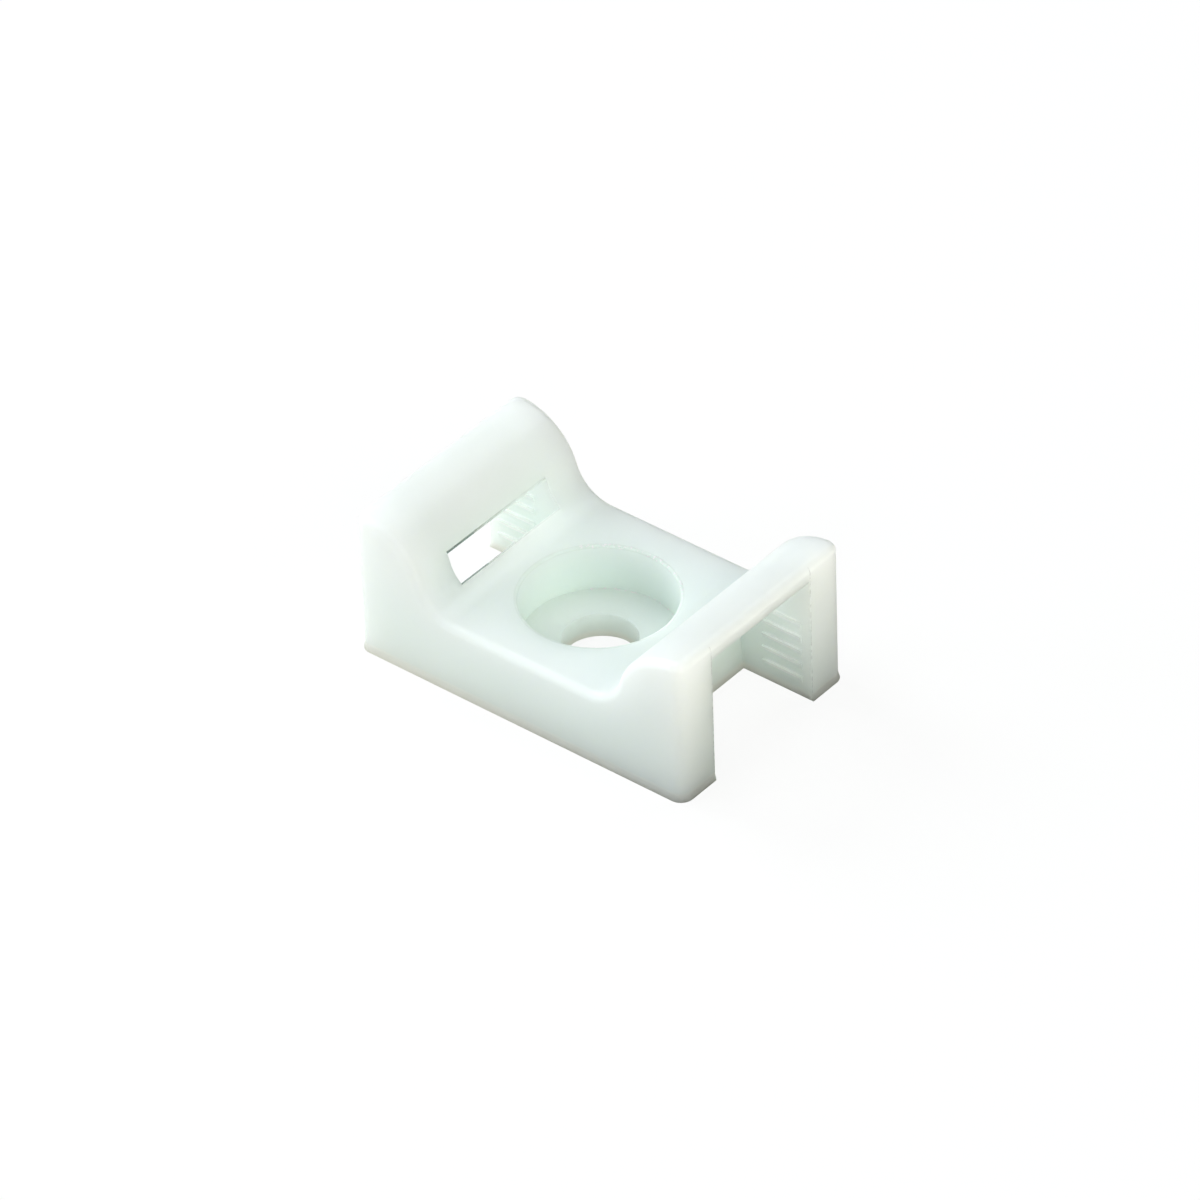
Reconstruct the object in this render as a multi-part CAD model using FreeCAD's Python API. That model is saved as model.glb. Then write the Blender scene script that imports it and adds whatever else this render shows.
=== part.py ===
import FreeCAD, Part
import math
import os

# Screw-fixed saddle mount for cable ties, moulded in one piece from natural nylon.
# Millimetres. X runs along the length, Y across the width and Z up from the mounting
# face. The origin is on the mounting face, on the axis of the screw hole.

# Block and ears
body_length = 22.7
body_width = 13.95
height = 9.25
deck_height = 4.55
corner_radius = 0.7
edge_radius = 0.5

# Side profile of an ear: a hollow sweep off the deck, then a dome up to its crest
sweep_radius = 2.35
dome_radius = 4.2
crest_inset = 0.4

# Lip round the foot of the moulding
foot_lip = 0.1
foot_lip_height = 0.4

# Tie channel under each ear, open below and at the end, with its slot in the saddle
channel_width = 8.45
channel_wall_x = 6.6
channel_wall_draft = 4.4
slot_lip_x = 7.15
slot_lip_land = 0.15
bridge_wall = 1.05

# Grip ribs on the inner faces of the four legs
rib_count = 5
rib_pitch = 0.92
rib_first_height = 1.4
rib_depth = 0.14
rib_thickness = 0.5
rib_length = 2.7
rib_end_inset = 0.65

# Screw hole with a recess for the screw head
hole_diameter = 4.3
hole_lead_in = 0.1
recess_diameter = 8.9
recess_floor = 1.6
recess_mouth_radius = 0.15

# How far a cutter runs past a face that it opens
overrun = 1.0

half_length = body_length / 2
half_width = body_width / 2
crest_x = half_length - crest_inset
dome_centre_z = height - dome_radius
sweep_centre_z = deck_height + sweep_radius
tolerance = 1e-6


def point(x, z, y=0.0):
    return FreeCAD.Vector(x, y, z)


def line(start, end):
    return Part.LineSegment(start, end).toShape()


def arc(start, middle, end):
    return Part.Arc(start, middle, end).toShape()


def mirror_ends(shape):
    """The same shape at the other end of the mount."""
    return shape.mirror(FreeCAD.Vector(0, 0, 0), FreeCAD.Vector(1, 0, 0))


def mirror_sides(shape):
    """The same shape on the other side of the mount."""
    return shape.mirror(FreeCAD.Vector(0, 0, 0), FreeCAD.Vector(0, 1, 0))


def on_dome(angle, radius=dome_radius):
    """Point of the dome's circle, or of one inside it, at an angle from its crest."""
    return point(crest_x - radius * math.sin(angle), dome_centre_z + radius * math.cos(angle))


def on_sweep(angle):
    """Point of the hollow sweep, at an angle from where it leaves the deck."""
    return point(sweep_start_x + sweep_radius * math.sin(angle),
                 sweep_centre_z - sweep_radius * math.cos(angle))


def saddle_surface_z(x):
    """Height of the saddle's surface at a distance x from the screw axis."""
    if x <= sweep_start_x:
        return deck_height
    if x <= on_sweep(join_angle).x:
        return sweep_centre_z - math.sqrt(sweep_radius ** 2 - (x - sweep_start_x) ** 2)
    return dome_centre_z + math.sqrt(dome_radius ** 2 - (crest_x - x) ** 2)


# The sweep and the dome touch on the line between their centres
centres_rise = sweep_centre_z - dome_centre_z
centres_reach = math.sqrt((sweep_radius + dome_radius) ** 2 - centres_rise ** 2)
sweep_start_x = crest_x - centres_reach
join_angle = math.atan2(centres_reach, centres_rise)


def side_profile():
    """Outline of the block with its two ears, seen from the long side."""
    crest = on_dome(0)
    join = on_dome(join_angle)
    right = [line(point(half_length, 0), point(half_length, height)),
             line(point(half_length, height), crest),
             arc(crest, on_dome(join_angle / 2), join),
             arc(join, on_sweep(join_angle / 2), on_sweep(0))]
    left = [mirror_ends(edge) for edge in right]
    foot = line(point(-half_length, 0), point(half_length, 0))
    deck = line(point(-sweep_start_x, deck_height), on_sweep(0))
    return Part.Wire(Part.__sortEdges__([foot, deck] + right + left))


def is_upright_corner(edge):
    box = edge.BoundBox
    return box.XLength < tolerance and box.YLength < tolerance


def is_top_rim(edge):
    """True for the edges between the top surface and the faces round the mount."""
    box = edge.BoundBox
    crosses_the_top = box.XLength < tolerance and abs(box.XMin) < half_length - tolerance
    return box.ZMin > deck_height - tolerance and not crosses_the_top


def blank_body():
    """The block with its ears, all outer edges rounded."""
    face = Part.Face(side_profile())
    face.translate(FreeCAD.Vector(0, -half_width, 0))
    body = face.extrude(FreeCAD.Vector(0, body_width, 0))
    body = body.makeFillet(corner_radius, [e for e in body.Edges if is_upright_corner(e)])
    return body.makeFillet(edge_radius, [e for e in body.Edges if is_top_rim(e)])


def rounded_rectangle(length, width, radius, z):
    x, y = length / 2, width / 2
    bow = radius * (1 - math.sqrt(0.5))
    edges = []
    for side_x, side_y in ((1, 1), (-1, 1), (-1, -1), (1, -1)):
        edges.append(arc(point(side_x * x, z, side_y * (y - radius)),
                         point(side_x * (x - bow), z, side_y * (y - bow)),
                         point(side_x * (x - radius), z, side_y * y)))
        if side_x == side_y:
            edges.append(line(point(side_x * (x - radius), z, side_y * y),
                              point(-side_x * (x - radius), z, side_y * y)))
        else:
            edges.append(line(point(side_x * x, z, side_y * (y - radius)),
                              point(side_x * x, z, -side_y * (y - radius))))
    return Part.Wire(Part.__sortEdges__(edges))


def foot():
    """The slightly wider foot, which tapers into the sides."""
    wide = rounded_rectangle(body_length + 2 * foot_lip, body_width + 2 * foot_lip,
                             corner_radius + foot_lip, 0)
    narrow = rounded_rectangle(body_length, body_width, corner_radius, foot_lip_height)
    return Part.makeLoft([wide, narrow], True, True)


def channel_wall_at(z):
    """Distance from the screw axis to the block's end wall at a height z."""
    return channel_wall_x - z * math.tan(math.radians(channel_wall_draft))


def channel_core():
    """The space of the right-hand tie channel and of its slot up into the saddle."""
    top = height + overrun
    below = -overrun
    outside = half_length + foot_lip + overrun
    lip_z = saddle_surface_z(slot_lip_x) - slot_lip_land
    ceiling_radius = dome_radius - bridge_wall
    lip_angle = math.acos((lip_z - dome_centre_z) / ceiling_radius)
    ceiling_start = on_dome(lip_angle, ceiling_radius)
    ceiling_crest = on_dome(0, ceiling_radius)
    corners = [ceiling_crest,
               point(outside, ceiling_crest.z),
               point(outside, below),
               point(channel_wall_at(below), below),
               point(channel_wall_at(top), top),
               point(slot_lip_x, top),
               point(slot_lip_x, lip_z),
               ceiling_start]
    edges = [line(start, end) for start, end in zip(corners, corners[1:])]
    edges.append(arc(ceiling_start, on_dome(lip_angle / 2, ceiling_radius), ceiling_crest))
    face = Part.Face(Part.Wire(edges))
    face.translate(FreeCAD.Vector(0, -channel_width / 2, 0))
    return face.extrude(FreeCAD.Vector(0, channel_width, 0))


def screw_core():
    """The space of the screw hole and of the recess for the screw's head."""
    hole_radius = hole_diameter / 2
    recess_radius = recess_diameter / 2
    mouth = recess_mouth_radius
    mouth_z = deck_height - mouth
    mouth_middle = point(recess_radius + mouth * (1 - math.sqrt(0.5)),
                         mouth_z + mouth * math.sqrt(0.5))
    lower = [point(recess_radius, mouth_z),
             point(recess_radius, recess_floor),
             point(hole_radius, recess_floor),
             point(hole_radius, hole_lead_in),
             point(hole_radius + hole_lead_in, 0),
             point(hole_radius + hole_lead_in, -overrun),
             point(0, -overrun),
             point(0, height),
             point(recess_radius + mouth, height),
             point(recess_radius + mouth, deck_height)]
    edges = [line(start, end) for start, end in zip(lower, lower[1:])]
    edges.append(arc(lower[-1], mouth_middle, lower[0]))
    return Part.Face(Part.Wire(edges)).revolve(point(0, 0), point(0, 1), 360)


def grip_rib(top_z):
    """One rib on the inner face of the right-hand back leg: a ledge over a slope."""
    wall_y = channel_width / 2
    start_x = half_length - rib_end_inset - rib_length
    root = wall_y + rib_depth
    section = Part.makePolygon([point(start_x, top_z, root),
                                point(start_x, top_z, wall_y - rib_depth),
                                point(start_x, top_z - rib_thickness, wall_y),
                                point(start_x, top_z - rib_thickness, root),
                                point(start_x, top_z, root)])
    return Part.Face(section).extrude(FreeCAD.Vector(rib_length, 0, 0))


def grip_ribs():
    """The ribs of all four legs."""
    ribs = []
    for step in range(rib_count):
        rib = grip_rib(rib_first_height + step * rib_pitch)
        across = mirror_sides(rib)
        ribs += [rib, across, mirror_ends(rib), mirror_ends(across)]
    return ribs


def tie_mount():
    body = blank_body().fuse(foot())
    core = channel_core()
    body = body.cut([core, mirror_ends(core), screw_core()])
    return body.fuse(grip_ribs()).removeSplitter()


os.makedirs("parts", exist_ok=True)
mount = tie_mount()
solids = mount.Solids
assert mount.isValid() and len(solids) == 1, "the mount has to be one valid solid"
solids[0].exportStep("parts/tie_mount.step")
print(f"tie_mount: volume {mount.Volume:.1f} mm3, box {mount.BoundBox}")
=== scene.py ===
import math

import bmesh
import bpy
from mathutils import Matrix, Vector


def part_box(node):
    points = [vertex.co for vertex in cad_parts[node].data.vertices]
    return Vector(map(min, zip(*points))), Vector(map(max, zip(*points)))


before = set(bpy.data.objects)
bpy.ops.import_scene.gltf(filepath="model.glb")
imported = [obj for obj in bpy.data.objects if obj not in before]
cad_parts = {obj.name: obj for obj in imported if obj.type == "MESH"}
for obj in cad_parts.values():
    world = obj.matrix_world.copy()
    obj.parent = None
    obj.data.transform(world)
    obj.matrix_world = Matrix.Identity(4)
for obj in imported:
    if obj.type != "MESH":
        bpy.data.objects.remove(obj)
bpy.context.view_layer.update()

# Tie mount: one piece of natural nylon, milky and slightly translucent, moulded in a two-part
# mould with a sliding core for each tie channel. It has no paint or print: its own colour is
# the nylon's, faintly clouded. Over it lies painted shade: the colour goes from lighter at the
# thin ears to darker and a little greener at the thick foot, where less light reaches.
SHADED_FOOT_NYLON = (0.81, 0.945, 0.865, 1.0)
LIT_EAR_NYLON = (0.89, 0.97, 0.94, 1.0)
CLOUD_SIZE = 0.004
CLOUD_DRIFT = 0.15
SCATTER_SHARE = 0.85
SCATTER_DEPTH = 0.0055
SCATTER_SPREAD = (1.0, 1.0, 0.9)
NYLON_IOR = 1.53
SKIN_ROUGHNESS = (0.38, 0.46)
SKIN_GRAIN = 0.00025
SKIN_DETAIL = 3.0
SKIN_DEPTH = 0.000004


def add_node(tree, kind, settings=None, **inputs):
    """A new node. Each input gets a value, or a link from another node's output.

    An input is named in full with _ for a space, or by its number, as _0 for the first.
    """
    node = tree.nodes.new(kind)
    for name, value in (settings or {}).items():
        setattr(node, name, value)
    for name, value in inputs.items():
        socket = node.inputs[int(name[1:]) if name[0] == "_" else name.replace("_", " ")]
        if isinstance(value, bpy.types.NodeSocket):
            tree.links.new(value, socket)
        else:
            socket.default_value = value
    return node


def math_node(operation, first, second=0.0):
    return add_node(first.id_data, "ShaderNodeMath", {"operation": operation},
                    _0=first, _1=second).outputs["Value"]


def ramp(value, start, end, low=0.0, high=1.0):
    """From low at a value's start to high at its end, and level beyond them."""
    return add_node(value.id_data, "ShaderNodeMapRange", Value=value, From_Min=start,
                    From_Max=end, To_Min=low, To_Max=high).outputs["Result"]


def noise(point, size, detail=2.0):
    return add_node(point.id_data, "ShaderNodeTexNoise", Vector=point, Scale=1 / size,
                    Detail=detail).outputs["Fac"]


def paint(mask, under, over):
    """The colour under, with the colour over on it where the mask is 1."""
    return add_node(mask.id_data, "ShaderNodeMix", {"data_type": "RGBA"},
                    _0=mask, _6=under, _7=over).outputs[2]


def blend(mask, under, over):
    """As paint, for plain numbers."""
    return add_node(mask.id_data, "ShaderNodeMix", _0=mask, _2=under, _3=over).outputs[0]


nylon = bpy.data.materials.new("milky_nylon")
nylon.use_nodes = True
tree = nylon.node_tree
shader = tree.nodes["Principled BSDF"]
shader.inputs["IOR"].default_value = NYLON_IOR
shader.inputs["Subsurface Weight"].default_value = SCATTER_SHARE
shader.inputs["Subsurface Radius"].default_value = SCATTER_SPREAD
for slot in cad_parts["tie_mount"].material_slots:
    slot.material = nylon

place = add_node(tree, "ShaderNodeTexCoord").outputs["Object"]
axes = add_node(tree, "ShaderNodeSeparateXYZ", Vector=place).outputs
height, front_to_back = axes["Z"], axes["Y"]
clouds = noise(place, CLOUD_SIZE)
lowest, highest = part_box("tie_mount")
# Painted shade: darker, greener nylon at the foot, lighter at the ears, with random cloud
# drift.
height_shade_and_cloud = math_node("ADD", ramp(height, lowest[2], highest[2]),
                      ramp(clouds, 0.0, 1.0, low=-CLOUD_DRIFT, high=CLOUD_DRIFT))
colour = paint(height_shade_and_cloud, SHADED_FOOT_NYLON, LIT_EAR_NYLON)
roughness = ramp(clouds, 0.0, 1.0, low=SKIN_ROUGHNESS[0], high=SKIN_ROUGHNESS[1])
skin = add_node(tree, "ShaderNodeBump", Height=noise(place, SKIN_GRAIN, SKIN_DETAIL),
                Distance=SKIN_DEPTH).outputs["Normal"]

# Painted shade round each slot: a dark, fine band on its lip and foot edges, where those edges
# stand in shade, darkest at the slot's front end. The lines where the mould's parts met are
# broken and faint up each end face. The mount is the same at both ends and on both sides, so
# places are measured on one quarter of it.
PARTING_LINE_AND_SHADE_COLOUR = (0.02, 0.025, 0.025, 1.0)
CHANNEL_EDGE_Y = 0.004225
SLOT_LIP = (0.00715, 0.00674)
SLOT_LIP_REACH = 0.00016
SLOT_FOOT = (0.00621, 0.00512)
SLOT_FOOT_REACH = 0.00009
SLOT_FADE = (-0.002, 0.0018)
SLOT_BACK_STRENGTH = 0.12
END_FACE_X = 0.0112
END_LINE_Y = 0.00427
END_LINE_REACH = 0.00005
END_LINE_STRENGTH = 0.2
WORN_SIZE = 0.00025
WORN_RANGE = (0.4, 0.6)
FULL_SHARE = 0.6

quarter = add_node(tree, "ShaderNodeVectorMath", {"operation": "ABSOLUTE"}, _0=place)
quarter_axes = add_node(tree, "ShaderNodeSeparateXYZ", Vector=quarter.outputs["Vector"]).outputs
quarter_x, quarter_y = quarter_axes["X"], quarter_axes["Y"]


def all_of(*masks):
    product = masks[0]
    for mask in masks[1:]:
        product = math_node("MULTIPLY", product, mask)
    return product


def any_of(*masks):
    highest_mask = masks[0]
    for mask in masks[1:]:
        highest_mask = math_node("MAXIMUM", highest_mask, mask)
    return highest_mask


def near(value, middle, reach):
    """1 near a value's middle, fading to 0 where it is further off than reach."""
    off = math_node("ABSOLUTE", math_node("SUBTRACT", value, middle))
    return ramp(off, FULL_SHARE * reach, reach, low=1.0, high=0.0)


def slot_edge(edge, reach):
    """The band round a slot's edge that runs across the mount at an x and a z."""
    return all_of(near(quarter_x, edge[0], reach), near(height, edge[1], reach))


# Painted shade: a dark band along each slot's lip and foot edges, darkest at its front end.
slot_edge_shade = all_of(any_of(slot_edge(SLOT_LIP, SLOT_LIP_REACH),
                           slot_edge(SLOT_FOOT, SLOT_FOOT_REACH)),
                    math_node("LESS_THAN", quarter_y, CHANNEL_EDGE_Y),
                    ramp(front_to_back, *SLOT_FADE, low=1.0, high=SLOT_BACK_STRENGTH))
end_lines = all_of(near(quarter_y, END_LINE_Y, END_LINE_REACH),
                   math_node("GREATER_THAN", quarter_x, END_FACE_X),
                   ramp(noise(place, WORN_SIZE), *WORN_RANGE, high=END_LINE_STRENGTH))
# The painted slot shade and the real parting lines up the end faces share one dark colour.
colour = paint(any_of(slot_edge_shade, end_lines), colour, PARTING_LINE_AND_SHADE_COLOUR)

# Grip ribs: five on the inner face of each leg, moulded with it. A painted highlight lies along
# each rib's upper edge as a light bar, and the nylon there scatters light less deeply.
RIB_HIGHLIGHT_COLOUR = (0.92, 1.0, 0.95, 1.0)
RIB_COUNT = 5
RIB_PITCH = 0.00092
FIRST_RIB_Z = 0.00134
RIB_BAR_REACH = 0.0002
RIB_FACE_Y = 0.00415
RIB_FACE_REACH = 0.00014
RIB_MIDDLE_X = 0.00935
RIB_HALF_LENGTH = 0.00137
RIB_SCATTER_DEPTH = 0.0006

highlight_bars = any_of(*[near(height, FIRST_RIB_Z + step * RIB_PITCH, RIB_BAR_REACH)
                for step in range(RIB_COUNT)])
rib_highlights = all_of(highlight_bars, near(quarter_y, RIB_FACE_Y, RIB_FACE_REACH),
                 near(quarter_x, RIB_MIDDLE_X, RIB_HALF_LENGTH))
# Painted highlight: light bars along the ribs' upper edges.
colour = paint(rib_highlights, colour, RIB_HIGHLIGHT_COLOUR)
scatter = blend(rib_highlights, SCATTER_DEPTH, RIB_SCATTER_DEPTH)
tree.links.new(scatter, shader.inputs["Subsurface Scale"])

# Foot: a thin lip all round the bottom, where the mould's halves met, moulded with the rest.
# Painted light: the lowest part of the foot is painted a little warmer and lighter than the
# nylon above it.
LIT_LIP_COLOUR = (0.89, 0.97, 0.86, 1.0)
LIP_FADE = (0.0003, 0.0006)

# Painted light along the bottom of the foot.
colour = paint(ramp(height, *LIP_FADE, low=1.0, high=0.0), colour, LIT_LIP_COLOUR)

# Screw recess: its mouth is dull, and painted shade darkens it so that its rounded edge shows
# no bright line. The mouth and the edge of its floor have small nicks from the mould's core,
# with painted highlights on them: they are painted white, as glints.
MOUTH_RADIUS = 0.00453
MOUTH_REACH = 0.00015
MOUTH_Z = 0.0045
FLOOR_EDGE_RADIUS = 0.0044
FLOOR_EDGE_REACH = 0.00008
FLOOR_EDGE_Z = 0.0016
NICKS_START_Y = (0.0025, 0.003)
SHADED_MOUTH_COLOUR = (0.78, 0.89, 0.82, 1.0)
MOUTH_ROUGHNESS = 0.6
NICK_SIZE = 0.00016
NICK_RANGE = (0.55, 0.62)
NICK_GLINT_COLOUR = (1.0, 1.0, 1.0, 1.0)
NICK_ROUGHNESS = 0.1
NICK_DEPTH = 0.00006

flat_place = add_node(tree, "ShaderNodeVectorMath", {"operation": "MULTIPLY"},
                      _0=place, _1=(1.0, 1.0, 0.0))
radius = add_node(tree, "ShaderNodeVectorMath", {"operation": "LENGTH"},
                  _0=flat_place.outputs["Vector"]).outputs["Value"]
mouth = all_of(near(radius, MOUTH_RADIUS, MOUTH_REACH), near(height, MOUTH_Z, MOUTH_REACH))
floor_edge = all_of(near(radius, FLOOR_EDGE_RADIUS, FLOOR_EDGE_REACH),
                    near(height, FLOOR_EDGE_Z, FLOOR_EDGE_REACH))
nicks_and_glints = all_of(any_of(mouth, floor_edge), ramp(front_to_back, *NICKS_START_Y),
               ramp(noise(place, NICK_SIZE), *NICK_RANGE))
# Painted shade on the mouth, and painted white glints on the nicks.
colour = paint(nicks_and_glints, paint(mouth, colour, SHADED_MOUTH_COLOUR), NICK_GLINT_COLOUR)
tree.links.new(colour, shader.inputs["Base Color"])
nicked_skin = add_node(tree, "ShaderNodeBump", Height=nicks_and_glints, Distance=NICK_DEPTH, Normal=skin)
tree.links.new(nicked_skin.outputs["Normal"], shader.inputs["Normal"])
roughness = blend(nicks_and_glints, blend(mouth, roughness, MOUTH_ROUGHNESS), NICK_ROUGHNESS)
tree.links.new(roughness, shader.inputs["Roughness"])

# Floor: the white sheet of a light table. The camera sees it as the white of the background,
# with a faint shadow of the mount. Its glow fades from the left towards the mount's right end,
# which stands in shade. It is strong again further to the right.
FLOOR_SIZE = 1.6
SHEET_COLOUR = (0.3, 0.3, 0.3, 1.0)
WARM_LIGHT = (1.0, 0.96, 0.82)
LEFT_GLOW = 0.5
LEFT_GLOW_ENDS = (-0.018, 0.018)
RIGHT_GLOW = 2.5
RIGHT_GLOW_STARTS = (0.027, 0.033)
SHADOW_SHARE = 0.12
SHEET_ROUGHNESS = 0.9

sheet_mesh = bmesh.new()
bmesh.ops.create_grid(sheet_mesh, x_segments=1, y_segments=1, size=FLOOR_SIZE / 2)
floor_mesh = bpy.data.meshes.new("floor")
sheet_mesh.to_mesh(floor_mesh)
sheet_mesh.free()
floor = bpy.data.objects.new("floor", floor_mesh)
bpy.context.scene.collection.objects.link(floor)

pale = bpy.data.materials.new("pale_sheet")
pale.use_nodes = True
sheet_tree = pale.node_tree
sheet = sheet_tree.nodes["Principled BSDF"]
sheet.inputs["Base Color"].default_value = SHEET_COLOUR
sheet.inputs["Roughness"].default_value = SHEET_ROUGHNESS
sheet_place = add_node(sheet_tree, "ShaderNodeTexCoord").outputs["Object"]
sheet_x = add_node(sheet_tree, "ShaderNodeSeparateXYZ", Vector=sheet_place).outputs["X"]
glow = math_node("ADD", ramp(sheet_x, *LEFT_GLOW_ENDS, low=LEFT_GLOW, high=0.0),
                 ramp(sheet_x, *RIGHT_GLOW_STARTS, high=RIGHT_GLOW))
sheet.inputs["Emission Color"].default_value = (*WARM_LIGHT, 1.0)
sheet_tree.links.new(glow, sheet.inputs["Emission Strength"])

white = add_node(sheet_tree, "ShaderNodeEmission")
matte = add_node(sheet_tree, "ShaderNodeBsdfDiffuse", Color=(1, 1, 1, 1))
shaded_white = add_node(sheet_tree, "ShaderNodeMixShader", _0=SHADOW_SHARE,
                        _1=white.outputs["Emission"], _2=matte.outputs["BSDF"])
path = add_node(sheet_tree, "ShaderNodeLightPath")
surface = add_node(sheet_tree, "ShaderNodeMixShader", _0=path.outputs["Is Camera Ray"],
                   _1=sheet.outputs["BSDF"], _2=shaded_white.outputs["Shader"])
sheet_tree.links.new(surface.outputs["Shader"],
                     sheet_tree.nodes["Material Output"].inputs["Surface"])
floor_mesh.materials.append(pale)

# Studio: six large soft lamps on a dome round the mount. The key lamp stands on its left, a
# weaker one low in front, and the four others only fill. All are a little cool, apart from the
# one on the right. The plain white backdrop is seen by the camera alone.
LAMP_DISTANCE = 0.5
LAMP_SIZE = 0.3
KEY_POWER = 1.4
FRONT_POWER = 1.0
FILL_POWER = 0.65
COOL_LIGHT = (0.93, 0.99, 1.0)
SOFTBOXES = {
    "left": (270, 35, KEY_POWER, COOL_LIGHT),
    "front_low": (315, 12, FRONT_POWER, COOL_LIGHT),
    "front_high": (315, 62, FILL_POWER, COOL_LIGHT),
    "front_right": (45, 35, FILL_POWER, COOL_LIGHT),
    "right": (90, 35, FILL_POWER, WARM_LIGHT),
    "behind": (180, 62, FILL_POWER, COOL_LIGHT),
}
for name, (azimuth, elevation, power, light_colour) in SOFTBOXES.items():
    turn, tilt = math.radians(azimuth), math.radians(elevation)
    outward = Vector((math.sin(turn) * math.cos(tilt),
                      -math.cos(turn) * math.cos(tilt),
                      math.sin(tilt)))
    lamp = bpy.data.lights.new(name, "AREA")
    lamp.shape = "DISK"
    lamp.size = LAMP_SIZE
    lamp.energy = power
    lamp.color = light_colour
    stand = bpy.data.objects.new(name, lamp)
    stand.location = outward * LAMP_DISTANCE
    stand.rotation_mode = "QUATERNION"
    stand.rotation_quaternion = outward.to_track_quat("Z", "Y")
    bpy.context.scene.collection.objects.link(stand)

world = bpy.data.worlds.new("studio")
bpy.context.scene.world = world
world.use_nodes = True
backdrop = world.node_tree.nodes["Background"]
backdrop.inputs["Color"].default_value = (1, 1, 1, 1)
seen = add_node(world.node_tree, "ShaderNodeLightPath").outputs["Is Camera Ray"]
world.node_tree.links.new(seen, backdrop.inputs["Strength"])

# Camera: a long lens, looking down on the mount from the front right. It is turned a little
# about its own axis, because the photograph stands a little askew.
AZIMUTH = math.radians(40.46)
ELEVATION = math.radians(38.09)
ROLL = math.radians(-2.15)
DISTANCE = 0.522
SENSOR_WIDTH = 36.0
LENS = 289.3
CLIP = (0.01, 10)
TARGET = Vector((0.00155, -0.00173, 0.00608))
back = Vector((math.sin(AZIMUTH) * math.cos(ELEVATION),
               -math.cos(AZIMUTH) * math.cos(ELEVATION),
               math.sin(ELEVATION)))
level_right = Vector((math.cos(AZIMUTH), math.sin(AZIMUTH), 0))
level_up = back.cross(level_right)
right = level_right * math.cos(ROLL) + level_up * math.sin(ROLL)
up = level_up * math.cos(ROLL) - level_right * math.sin(ROLL)
eye = bpy.data.cameras.new("camera")
eye.sensor_width = SENSOR_WIDTH
eye.lens = LENS
eye.clip_start, eye.clip_end = CLIP
camera = bpy.data.objects.new("camera", eye)
camera.matrix_world = (Matrix.Translation(TARGET + back * DISTANCE)
                       @ Matrix((right, up, back)).transposed().to_4x4())
bpy.context.scene.collection.objects.link(camera)
bpy.context.scene.camera = camera

# Colours are shown as they are written.
bpy.context.scene.view_settings.view_transform = "Standard"
